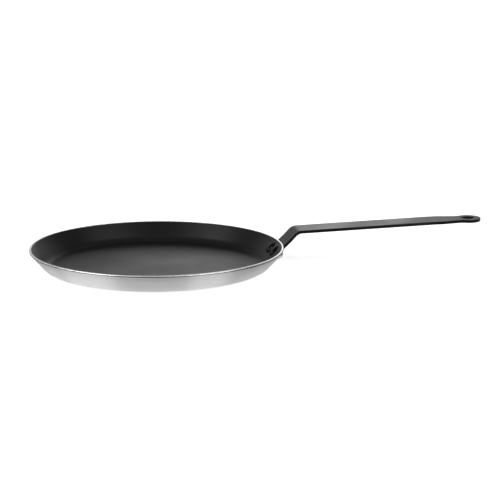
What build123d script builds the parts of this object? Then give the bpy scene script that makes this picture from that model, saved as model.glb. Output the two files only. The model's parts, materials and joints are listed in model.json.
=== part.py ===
from build123d import *
import os
from math import asin, cos, degrees, radians, sin, tan

# A shallow aluminium crepe pan with a non-stick lining and a cranked flat steel handle,
# held by two rivets. Millimetres, +Z up, +X along the handle, and the origin is the centre
# of the flat underside. Angles are in degrees.

# Pan body: one sheet, its edge turned upright outside and level on top
rim_diameter = 260.0
pan_height = 21.0
wall_angle = 48.8
sheet_thickness = 2.5
base_radius_outside = 15.0
rim_face_height = 1.8
rim_blend_radius = 1.2
rim_outer_edge_radius = 0.9
rim_inner_edge_radius = 0.3

# Non-stick lining: it ends a little below the bare top of the rim
lining_thickness = 0.2
lining_edge_drop = 0.28

# Handle: one flat bar; its heights are those of the middle of its thickness
bar_width = 28.2
bar_thickness = 3.2
bar_edge_radius = 0.4
flange_length = 16.6
flange_corner_radius = 6.0
flange_free_length = 1.0
crank_relief_angle = 2.5
crank_blend_share = 0.5
crank_bend_radius = 10.5
grip_above_rim = 11.69
grip_rise_angle = 1.3
level_bend_radius = 200.0
level_straight_length = 6.0
handle_past_rim = 214.8
taper_length = 30.4
taper_end_width = 17.0
taper_radius = 20.0
eye_diameter = 26.8
neck_radius = 12.0
hanging_hole_diameter = 13.0

# Rivets
rivet_pitch = 16.6
rivet_drop = 10.2
shank_diameter = 5.0
shank_clearance = 0.05
inner_head_diameter = 13.0
inner_head_height = 2.8
outer_head_diameter = 10.6
outer_head_height = 4.8
head_edge_height = 0.7

# How far a blank runs into the surface that it is then trimmed to
trim_overrun = 0.15

rim_radius = rim_diameter / 2
rim_corner_height = pan_height - rim_face_height
wall_run, wall_rise = cos(radians(wall_angle)), sin(radians(wall_angle))
standing = Align.CENTER, Align.CENTER, Align.MIN


def wall_radius(height, depth):
    """Radius of the wall's outside at a height, or of the parallel face `depth` inside it."""
    return rim_radius - (rim_corner_height - height) * wall_run / wall_rise - depth / wall_rise


def on_wall(drop, depth):
    """Point over +X, `drop` down the wall's outside from the rim and `depth` inside it."""
    radius = rim_radius - drop * wall_run - depth * wall_rise
    return Vector(radius, 0, rim_corner_height - drop * wall_rise + depth * wall_run)


def turned(corners, radii):
    """Solid of revolution about Z from corners (radius, height), each rounded by its radius."""
    outline = FilletPolyline(*[(r, 0, z) for r, z in corners], radius=radii, close=True)
    return revolve(make_face(outline), Axis.Z)


def pan_blank():
    """The turned pan before its rivet holes are drilled."""
    inside_radius = base_radius_outside - sheet_thickness
    corners = [
        (0, 0),
        (wall_radius(0, 0), 0),
        (rim_radius, rim_corner_height),
        (rim_radius, pan_height),
        (wall_radius(pan_height, sheet_thickness), pan_height),
        (wall_radius(sheet_thickness, sheet_thickness), sheet_thickness),
        (0, sheet_thickness),
    ]
    rim_radii = [rim_blend_radius, rim_outer_edge_radius, rim_inner_edge_radius]
    return turned(corners, [0, base_radius_outside, *rim_radii, inside_radius, 0])


def lining_blank():
    """The lining before its rivet holes: a skin on the pan's inside, up to the bare rim."""
    top = pan_height - lining_edge_drop
    depth = sheet_thickness + lining_thickness
    corners = [
        (0, sheet_thickness),
        (wall_radius(sheet_thickness, sheet_thickness), sheet_thickness),
        (wall_radius(top, sheet_thickness), top),
        (wall_radius(top, depth), top),
        (wall_radius(depth, depth), depth),
        (0, depth),
    ]
    radii = [0, base_radius_outside - sheet_thickness, 0, 0, base_radius_outside - depth, 0]
    return turned(corners, radii)


def bar_section(origin, angle, outline):
    """The outline square to the bar, where it runs at `angle` above level; its Y is up."""
    direction = (cos(radians(angle)), 0, sin(radians(angle)))
    return Plane(origin=origin, x_dir=(0, 1, 0), z_dir=direction) * outline


def flange_section(drop):
    """Section of the flange: it follows the wall's curve, and runs a little into the wall."""
    half = bar_thickness / 2
    wall_curve = on_wall(drop, 0).X / wall_rise
    ring = Circle(wall_curve + bar_thickness) - Circle(wall_curve - trim_overrun)
    outline = Pos(0, wall_curve + half) * ring & Rectangle(bar_width, bar_width)
    outline = fillet(outline.vertices(), bar_edge_radius)
    return bar_section(on_wall(drop, -half), wall_angle, outline)


def flange_end_block():
    """Block that the flange is trimmed to, so that its two lower corners are round."""
    length = 2 * flange_length + bar_width
    centre = on_wall(flange_length - length / 2, 0)
    square_to_wall = Plane(origin=centre, x_dir=(wall_run, 0, wall_rise), z_dir=(wall_rise, 0, -wall_run))
    outline = square_to_wall * RectangleRounded(length, bar_width, flange_corner_radius)
    return extrude(outline, bar_width, both=True)


def tail(start_x, shoulder_x, eye_x, height):
    """Level end of the bar: it narrows to a neck and ends in a round eye with a hanging hole."""
    side = [(start_x, bar_width / 2), (shoulder_x, bar_width / 2), (eye_x, taper_end_width / 2)]
    other_side = [(x, -y) for x, y in reversed(side)]
    outline = make_face(Polyline(*side, *other_side, close=True)) + Pos(eye_x, 0) * Circle(eye_diameter / 2)
    outline = fillet(outline.vertices().group_by(Axis.X)[2], neck_radius)
    outline = fillet(outline.vertices().group_by(Axis.X)[1], taper_radius)
    outline -= Pos(eye_x, 0) * Circle(hanging_hole_diameter / 2)
    plate = extrude(Pos(0, 0, height - bar_thickness / 2) * outline, bar_thickness)
    faces = plate.faces().sort_by(Axis.Z)
    edges = (faces[0].edges() + faces[-1].edges()).sort_by(Axis.X)
    return fillet(edges[2:], bar_edge_radius)


def handle_blank(pan):
    """The bar before its rivet holes: flange on the wall, crank, long grip and eye."""
    crank_angle = wall_angle - crank_relief_angle
    crank_direction = Vector(cos(radians(crank_angle)), 0, sin(radians(crank_angle)))
    flange_top = on_wall(flange_free_length, -bar_thickness / 2)
    crank_length = (pan_height + grip_above_rim - flange_top.Z) / crank_direction.Z
    crank_top = flange_top + crank_direction * crank_length
    crank_straight = crank_length - crank_bend_radius * tan(radians(crank_angle - grip_rise_angle) / 2)
    crank_start = flange_top + crank_direction * crank_straight * crank_blend_share

    eye_x = rim_radius + handle_past_rim - eye_diameter / 2
    shoulder_x = eye_x - taper_length
    tail_x = shoulder_x - level_straight_length
    level_x = tail_x - 2 * level_bend_radius * tan(radians(grip_rise_angle) / 2)
    tail_height = crank_top.Z + (level_x - crank_top.X) * tan(radians(grip_rise_angle))

    flat = RectangleRounded(bar_width, bar_thickness, bar_edge_radius)
    flat_section = bar_section(crank_start, crank_angle, flat)
    sections = [flange_section(flange_length), flange_section(flange_free_length), flat_section]
    flange = loft(sections, ruled=True) & flange_end_block()
    route = [crank_start, crank_top, Vector(level_x, 0, tail_height), Vector(tail_x, 0, tail_height)]
    grip = sweep(flat_section, FilletPolyline(*route, radius=[crank_bend_radius, level_bend_radius]))
    return flange - pan + grip + tail(tail_x, shoulder_x, eye_x, tail_height)


def rivet_seats():
    """Where each rivet's axis meets the lining, local Z pointing into the pan; left, then right."""
    seat = on_wall(rivet_drop, sheet_thickness + lining_thickness)
    square_to_wall = Plane(origin=seat, x_dir=(0, 1, 0), z_dir=(-wall_rise, 0, wall_run)).location
    turn = degrees(asin(rivet_pitch / 2 / seat.X))
    return {"left": Rot(0, 0, -turn) * square_to_wall, "right": Rot(0, 0, turn) * square_to_wall}


def drilled(blank, seats):
    """The blank with a rivet hole through it at each seat."""
    length = 4 * (sheet_thickness + bar_thickness)
    for seat in seats:
        blank -= seat * Cylinder(shank_diameter / 2 + shank_clearance, length)
    return blank


def head(diameter, height):
    """Domed rivet head on local Z; its foot runs a little below zero, to be trimmed to its seat."""
    radius = diameter / 2
    rise = height - head_edge_height
    dome_radius = (radius**2 + rise**2) / (2 * rise)
    button = Pos(0, 0, -trim_overrun) * Cylinder(radius, height + trim_overrun, align=standing)
    return button & Pos(0, 0, height - dome_radius) * Sphere(dome_radius)


def bare_inner_head():
    """The rivet's inner head under its coating."""
    return head(inner_head_diameter - 2 * lining_thickness, inner_head_height - lining_thickness)


def trimmed(shape, neighbours):
    """The shape cut back to the faces of the pieces that it lies on."""
    for piece in neighbours:
        shape -= piece
    return shape


def rivet(seat, neighbours):
    """One set rivet: inner head, shank through pan and bar, and outer head."""
    grip = sheet_thickness + lining_thickness + bar_thickness
    outer_head = Pos(0, 0, -grip) * Rot(180, 0, 0) * head(outer_head_diameter, outer_head_height)
    heads = trimmed(seat * (bare_inner_head() + outer_head), neighbours)
    shank = Cylinder(shank_diameter / 2, grip + head_edge_height, align=standing)
    return heads + seat * Pos(0, 0, -grip - head_edge_height / 2) * shank


def head_coating(seat, neighbours):
    """Coating on a rivet's inner head, as thick as the lining around it."""
    return trimmed(seat * (head(inner_head_diameter, inner_head_height) - bare_inner_head()), neighbours)


pan = pan_blank()
lining = lining_blank()
handle = handle_blank(pan)
seats = rivet_seats()
parts = {
    "pan_body": drilled(pan, seats.values()),
    "nonstick_lining": drilled(lining, seats.values()),
    "handle": drilled(handle, seats.values()),
}
# Left and right are as seen along the handle, towards the pan
for side, seat in seats.items():
    parts[f"rivet_{side}"] = rivet(seat, [pan, lining, handle])
    parts[f"rivet_coating_{side}"] = head_coating(seat, [pan, lining])

os.makedirs("parts", exist_ok=True)
for name, shape in parts.items():
    export_step(shape, f"parts/{name}.step")
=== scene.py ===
import bpy
import json
import math
from collections import namedtuple
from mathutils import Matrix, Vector


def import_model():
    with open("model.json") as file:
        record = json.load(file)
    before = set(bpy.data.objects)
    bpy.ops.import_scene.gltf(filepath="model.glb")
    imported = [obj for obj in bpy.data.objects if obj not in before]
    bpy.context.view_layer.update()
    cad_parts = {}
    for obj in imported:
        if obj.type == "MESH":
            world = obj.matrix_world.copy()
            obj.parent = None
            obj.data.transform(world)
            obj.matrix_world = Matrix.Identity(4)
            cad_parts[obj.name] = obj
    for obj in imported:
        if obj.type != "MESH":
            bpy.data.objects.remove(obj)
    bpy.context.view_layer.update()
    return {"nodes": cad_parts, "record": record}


# A spun aluminium crepe pan with a black non-stick inside and a coated flat steel handle.
# Metres, +Z up, +X along the handle, the origin at the centre of the flat underside.

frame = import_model()

BLACK = (0, 0, 0, 1)
WHITE = (1, 1, 1, 1)

# Camera: the photograph's viewing angle, found from the rim, the base and the handle
IMAGE_SIZE = 500
FOCAL_PIXELS = 2151.3
SENSOR_WIDTH = 36.0
CAMERA_DISTANCE = 2.2
CAMERA_PITCH = math.radians(12.644)
CAMERA_HEADING = math.radians(11.805)
CAMERA_TARGET = Vector((0.09337, -0.01951, 0.01777))
AWAY_FROM_CAMERA = (math.sin(CAMERA_HEADING), math.cos(CAMERA_HEADING), 0.0)
TOWARDS_CAMERA = (-math.sin(CAMERA_HEADING), -math.cos(CAMERA_HEADING), 0.0)

# Rim of the pan: between the two heights each zone fades in, and then multiplies the roughness
RimZone = namedtuple("RimZone", "start full roughness")
RIM_ZONES = {
    "face": RimZone(0.0190, 0.0196, 0.34),
    "edge": RimZone(0.0201, 0.0205, 2.60),
    "top": RimZone(0.0208, 0.0209, 0.50),
}

# Floor: gloss sees it dimmer everywhere, and nearly black away from the pan except behind it;
# this is painted shade, seen only in reflections
FLOOR_SIZE = 3.0
FLOOR_DROP = 0.0002
FLOOR_GREY = 0.62
FLOOR_GLOW = 0.70
GLOSS_DIMMING = 0.29
GLOSS_DARKENING = 0.92
DARK_RADII = (0.138, 0.168)
DARK_IN_FRONT = (-0.14, -0.07)

# Lamps: the heading is counted from the camera, in degrees, and the height is the middle's
Softbox = namedtuple("Softbox", "heading height distance width tall radiance")
SOFTBOXES = {
    "left": Softbox(-64, 0.70, 1.8, 1.8, 1.2, 2.1),
    "right": Softbox(51.5, 0.70, 1.8, 1.3, 1.2, 1.6),
    "left_rear": Softbox(-108, 0.60, 1.8, 0.2, 0.4, 4.0),
    # These two stand too high to light the flared wall much; they brighten the rim's rounding
    "left_top": Softbox(-60, 2.0, 1.8, 2.0, 0.4, 9.0),
    "right_top": Softbox(56, 2.0, 1.8, 1.6, 0.4, 9.5),
    "back": Softbox(176.2, 0.60, 2.6, 0.66, 1.2, 0.94),
}

# Sky: its strength for the camera, for gloss from three sides, and for all other rays.
# For the camera it is a little over white, so that the denoiser leaves no grain in it.
SKY_FOR_CAMERA = 1.05
GLOSS_IN_FRONT = 0.06
GLOSS_OVERHEAD = 0.15
GLOSS_BEHIND = 0.47
STUDIO_LEVEL = 0.45
# Parts of a direction between which the backdrop and the overhead light fade in
BACKDROP_AHEAD = (0.0, 0.8)
BACKDROP_UP = (0.65, 0.30)
OVERHEAD_UP = (0.5, 0.85)


class Nodes:
    """Short way to write a node tree: each call adds one node and links its inputs."""

    def __init__(self, owner):
        owner.use_nodes = True
        self.tree = owner.node_tree
        self.tree.nodes.clear()

    def add(self, kind, inputs=None, **settings):
        node = self.tree.nodes.new("ShaderNode" + kind)
        for name, value in settings.items():
            setattr(node, name, value)
        for name, value in (inputs or {}).items():
            if isinstance(value, bpy.types.NodeSocket):
                self.tree.links.new(value, node.inputs[name])
            else:
                node.inputs[name].default_value = value
        return node

    def math(self, operation, a, b, clamp=False):
        return self.add("Math", {0: a, 1: b}, operation=operation, use_clamp=clamp).outputs[0]

    def vector(self, operation, *vectors):
        """The outputs of a vector operation, which are "Vector" and "Value"."""
        return self.add("VectorMath", dict(enumerate(vectors)), operation=operation).outputs

    def ramp(self, value, low, high, to_low=0.0, to_high=1.0):
        """Eases from to_low to to_high while the value goes from low to high."""
        inputs = {
            "Value": value, "From Min": low, "From Max": high,
            "To Min": to_low, "To Max": to_high,
        }
        return self.add("MapRange", inputs, interpolation_type="SMOOTHSTEP").outputs[0]

    def fade(self, share, at_none, at_full):
        """Eases from at_none to at_full while the share goes from 0 to 1."""
        return self.ramp(share, 0.0, 1.0, at_none, at_full)

    def noise(self, vector, scale, detail, roughness):
        inputs = {"Vector": vector, "Scale": scale, "Detail": detail, "Roughness": roughness}
        return self.add("TexNoise", inputs).outputs[0]

    def bump(self, height, strength, distance):
        inputs = {"Height": height, "Strength": strength, "Distance": distance}
        return self.add("Bump", inputs).outputs[0]

    def mix(self, factor, a, b):
        return self.add("Mix", {0: factor, 6: a, 7: b}, data_type="RGBA").outputs[2]

    def finish(self, shader):
        self.add("OutputMaterial", {"Surface": shader.outputs[0]})


def turning_lines(n, profile, around, fineness, scale):
    """Noise that runs slowly round the axis and fast along the profile, with no seam."""
    turned = n.add("SeparateXYZ", {0: around}).outputs
    along = n.math("MULTIPLY", profile, fineness)
    place = n.add("CombineXYZ", {"X": turned[0], "Y": turned[1], "Z": along}).outputs[0]
    return n.noise(place, scale, detail=3.0, roughness=0.6)


def spun_aluminium():
    """Bare spun metal: fine turning lines round the axis, a brighter cut rim, faint clouding."""
    dark, light, cut = (0.84, 0.84, 0.845, 1), (0.94, 0.94, 0.945, 1), (0.95, 0.95, 0.95, 1)
    material = bpy.data.materials.new("spun_aluminium")
    n = Nodes(material)
    place = n.add("TexCoord").outputs["Object"]
    x, y, height = n.add("SeparateXYZ", {0: place}).outputs
    flat = n.add("CombineXYZ", {"X": x, "Y": y}).outputs[0]
    around = n.vector("NORMALIZE", flat)["Vector"]
    profile = n.math("ADD", n.vector("LENGTH", flat)["Value"], height)
    coarse = turning_lines(n, profile, around, fineness=900.0, scale=1.6)
    fine = turning_lines(n, profile, around, fineness=3200.0, scale=2.2)
    cloud = n.noise(place, scale=22.0, detail=3.0, roughness=0.55)
    rim = {name: n.ramp(height, zone.start, zone.full) for name, zone in RIM_ZONES.items()}

    half_coarse, half_cloud = n.math("MULTIPLY", coarse, 0.5), n.math("MULTIPLY", cloud, 0.5)
    tone = n.ramp(n.math("ADD", half_coarse, half_cloud), low=0.35, high=0.65)
    colour = n.mix(rim["face"], n.mix(tone, dark, light), cut)

    line_roughness = n.ramp(fine, low=0.3, high=0.7, to_low=0.44, to_high=0.52)
    cloud_roughness = n.ramp(cloud, low=0.35, high=0.7, to_low=0.0, to_high=0.05)
    roughness = n.math("ADD", line_roughness, cloud_roughness)
    for name, zone in RIM_ZONES.items():
        roughness = n.math("MULTIPLY", roughness, n.fade(rim[name], 1.0, zone.roughness))

    # A radial tangent with a quarter turn stretches highlights up and down the wall
    tangent = n.add("Tangent", direction_type="RADIAL", axis="Z").outputs[0]
    n.finish(n.add("BsdfPrincipled", {
        "Base Color": colour,
        "Metallic": 1.0,
        "Roughness": roughness,
        "Anisotropic": n.fade(rim["edge"], 1.0, 0.0),
        "Anisotropic Rotation": 0.25,
        "Tangent": tangent,
        "Normal": n.bump(n.math("ADD", coarse, fine), strength=0.06, distance=0.0004),
    }))
    return material


def nonstick(name, smoothest, roughest, ior):
    """Sprayed black non-stick coating: satin, with a very fine grain and soft wipe marks."""
    dark, light = (0.0025, 0.0025, 0.0026, 1), (0.0050, 0.0050, 0.0052, 1)
    material = bpy.data.materials.new(name)
    n = Nodes(material)
    place = n.add("TexCoord").outputs["Object"]
    grain = n.noise(place, scale=2600.0, detail=2.0, roughness=0.6)
    wiped = n.noise(place, scale=16.0, detail=3.0, roughness=0.5)
    wiped_roughness = n.ramp(wiped, low=0.3, high=0.7, to_low=smoothest, to_high=roughest)
    grain_roughness = n.ramp(grain, low=0.3, high=0.7, to_low=0.0, to_high=0.05)
    n.finish(n.add("BsdfPrincipled", {
        "Base Color": n.mix(n.ramp(grain, low=0.35, high=0.7), dark, light),
        "Roughness": n.math("ADD", wiped_roughness, grain_roughness),
        "IOR": ior,
        "Normal": n.bump(grain, strength=0.12, distance=0.00015),
    }))
    return material


def coated_steel():
    """Black stoved coating on the flat bar: satin with a faint orange peel and clouding."""
    dark, light = (0.006, 0.006, 0.0063, 1), (0.010, 0.010, 0.0104, 1)
    material = bpy.data.materials.new("coated_steel")
    n = Nodes(material)
    place = n.add("TexCoord").outputs["Object"]
    peel = n.noise(place, scale=900.0, detail=2.0, roughness=0.5)
    cloud = n.noise(place, scale=30.0, detail=4.0, roughness=0.6)
    n.finish(n.add("BsdfPrincipled", {
        "Base Color": n.mix(n.ramp(cloud, low=0.3, high=0.7), dark, light),
        "Roughness": n.ramp(cloud, low=0.3, high=0.7, to_low=0.31, to_high=0.38),
        "IOR": 1.40,
        "Normal": n.bump(peel, strength=0.10, distance=0.0002),
    }))
    return material


def rivet_metal():
    """Bare aluminium of the set rivets, a little struck and dull."""
    dark, light = (0.76, 0.76, 0.77, 1), (0.86, 0.86, 0.87, 1)
    fine_share = 0.2
    material = bpy.data.materials.new("rivet_aluminium")
    n = Nodes(material)
    place = n.add("TexCoord").outputs["Object"]
    dents = n.noise(place, scale=420.0, detail=2.0, roughness=0.5)
    fine = n.noise(place, scale=3000.0, detail=2.0, roughness=0.6)
    relief = n.math("ADD", dents, n.math("MULTIPLY", fine, fine_share))
    n.finish(n.add("BsdfPrincipled", {
        "Base Color": n.mix(n.ramp(dents, low=0.3, high=0.7), dark, light),
        "Metallic": 1.0,
        "Roughness": n.ramp(fine, low=0.3, high=0.7, to_low=0.42, to_high=0.50),
        "Normal": n.bump(relief, strength=0.2, distance=0.0004),
    }))
    return material


def dress():
    """Each CAD node takes the material of its slot; the coating on the rivets is smoother."""
    finishes = {
        "spun_aluminium": spun_aluminium(),
        "nonstick_coating": nonstick("nonstick_coating", smoothest=0.32, roughest=0.38, ior=1.38),
        "coated_steel": coated_steel(),
        "rivet_aluminium": rivet_metal(),
    }
    on_rivets = nonstick("rivet_coating", smoothest=0.05, roughest=0.08, ior=1.25)
    for subpart in frame["record"]["subparts"]:
        material = finishes[subpart["material_slot"]]
        if subpart["node"].startswith("rivet_coating"):
            material = on_rivets
        for material_slot in frame["nodes"][subpart["node"]].material_slots:
            material_slot.material = material


def floor():
    """Pale floor, plain and white for the camera outside the object's soft shadow; for glossy
    rays its colour and glow carry painted shade.
    """
    bpy.ops.mesh.primitive_plane_add(size=FLOOR_SIZE, location=(0, 0, -FLOOR_DROP))
    plane = bpy.context.object
    plane.name = "floor"
    material = bpy.data.materials.new("floor")
    n = Nodes(material)
    path = n.add("LightPath").outputs
    place = n.add("TexCoord").outputs["Object"]
    far = n.ramp(n.vector("LENGTH", place)["Value"], *DARK_RADII)
    in_front = n.ramp(n.vector("DOT_PRODUCT", place, TOWARDS_CAMERA)["Value"], *DARK_IN_FRONT)
    # Painted shade for reflections: glossy rays see the floor's colour and glow darkened in front
    # of and away from the pan, in place of an unlit camera side
    dark = n.math("MULTIPLY", n.math("MULTIPLY", far, in_front), path["Is Glossy Ray"])
    shade = n.math("SUBTRACT", 1.0, n.math("MULTIPLY", dark, GLOSS_DARKENING))
    dimming = n.math("MULTIPLY", path["Is Glossy Ray"], GLOSS_DIMMING)
    shade = n.math("SUBTRACT", shade, dimming, clamp=True)

    seen = n.math("MAXIMUM", path["Is Camera Ray"], path["Is Glossy Ray"])
    seen = n.math("MAXIMUM", seen, path["Is Transmission Ray"])
    glow = n.math("MULTIPLY", n.math("MULTIPLY", seen, shade), FLOOR_GLOW)
    colour = n.mix(shade, BLACK, (FLOOR_GREY, FLOOR_GREY, FLOOR_GREY, 1))
    diffuse = n.add("BsdfDiffuse", {"Color": colour})
    emission = n.add("Emission", {"Color": WHITE, "Strength": glow})
    n.finish(n.add("AddShader", {0: diffuse.outputs[0], 1: emission.outputs[0]}))
    plane.data.materials.append(material)


def world():
    """White for the camera; gloss finds a dim studio that brightens overhead and behind."""
    bpy.context.scene.world = bpy.data.worlds.new("studio")
    n = Nodes(bpy.context.scene.world)
    path = n.add("LightPath").outputs
    direction = n.add("TexCoord").outputs["Generated"]
    ahead = n.vector("DOT_PRODUCT", direction, AWAY_FROM_CAMERA)["Value"]
    up = n.add("SeparateXYZ", {0: direction}).outputs[2]
    backdrop = n.math("MULTIPLY", n.ramp(ahead, *BACKDROP_AHEAD), n.ramp(up, *BACKDROP_UP))
    behind = n.fade(backdrop, GLOSS_IN_FRONT, GLOSS_BEHIND)
    overhead = n.ramp(up, *OVERHEAD_UP, GLOSS_IN_FRONT, GLOSS_OVERHEAD)
    levels = {0: path["Is Glossy Ray"], 2: STUDIO_LEVEL, 3: n.math("MAXIMUM", behind, overhead)}
    level = n.add("Mix", levels, data_type="FLOAT").outputs[0]
    for_camera = n.math("MULTIPLY", path["Is Camera Ray"], SKY_FOR_CAMERA)
    strength = n.math("MAXIMUM", for_camera, level)
    strength = n.math("MAXIMUM", path["Is Transmission Ray"], strength)
    background = n.add("Background", {"Color": WHITE, "Strength": strength})
    n.add("OutputWorld", {"Surface": background.outputs[0]})


def aim(thing, target):
    """Turns a camera or lamp to look at the target."""
    thing.rotation_euler = (target - thing.location).to_track_quat("-Z", "Y").to_euler()


def softboxes():
    """Soft area lamps round the object, all aimed at its origin and unseen by the camera."""
    for name, box in SOFTBOXES.items():
        light = bpy.data.lights.new(name, "AREA")
        light.shape = "RECTANGLE"
        light.size, light.size_y = box.width, box.tall
        light.energy = box.radiance * math.pi * box.width * box.tall
        lamp = bpy.data.objects.new(name, light)
        bpy.context.scene.collection.objects.link(lamp)
        angle = math.radians(box.heading) - CAMERA_HEADING
        x, y = box.distance * math.sin(angle), -box.distance * math.cos(angle)
        lamp.location = (x, y, box.height)
        aim(lamp, Vector((0, 0, 0)))
        lamp.visible_camera = False


def camera():
    """The photograph's own view."""
    data = bpy.data.cameras.new("camera")
    data.sensor_width = SENSOR_WIDTH
    data.lens = FOCAL_PIXELS * SENSOR_WIDTH / IMAGE_SIZE
    eye = bpy.data.objects.new("camera", data)
    bpy.context.scene.collection.objects.link(eye)
    level, down = math.cos(CAMERA_PITCH), math.sin(CAMERA_PITCH)
    along = level * Vector(AWAY_FROM_CAMERA) - down * Vector((0, 0, 1))
    eye.location = CAMERA_TARGET - along * CAMERA_DISTANCE
    aim(eye, CAMERA_TARGET)
    bpy.context.scene.camera = eye


dress()
floor()
world()
softboxes()
camera()
bpy.context.scene.view_settings.view_transform = "Standard"
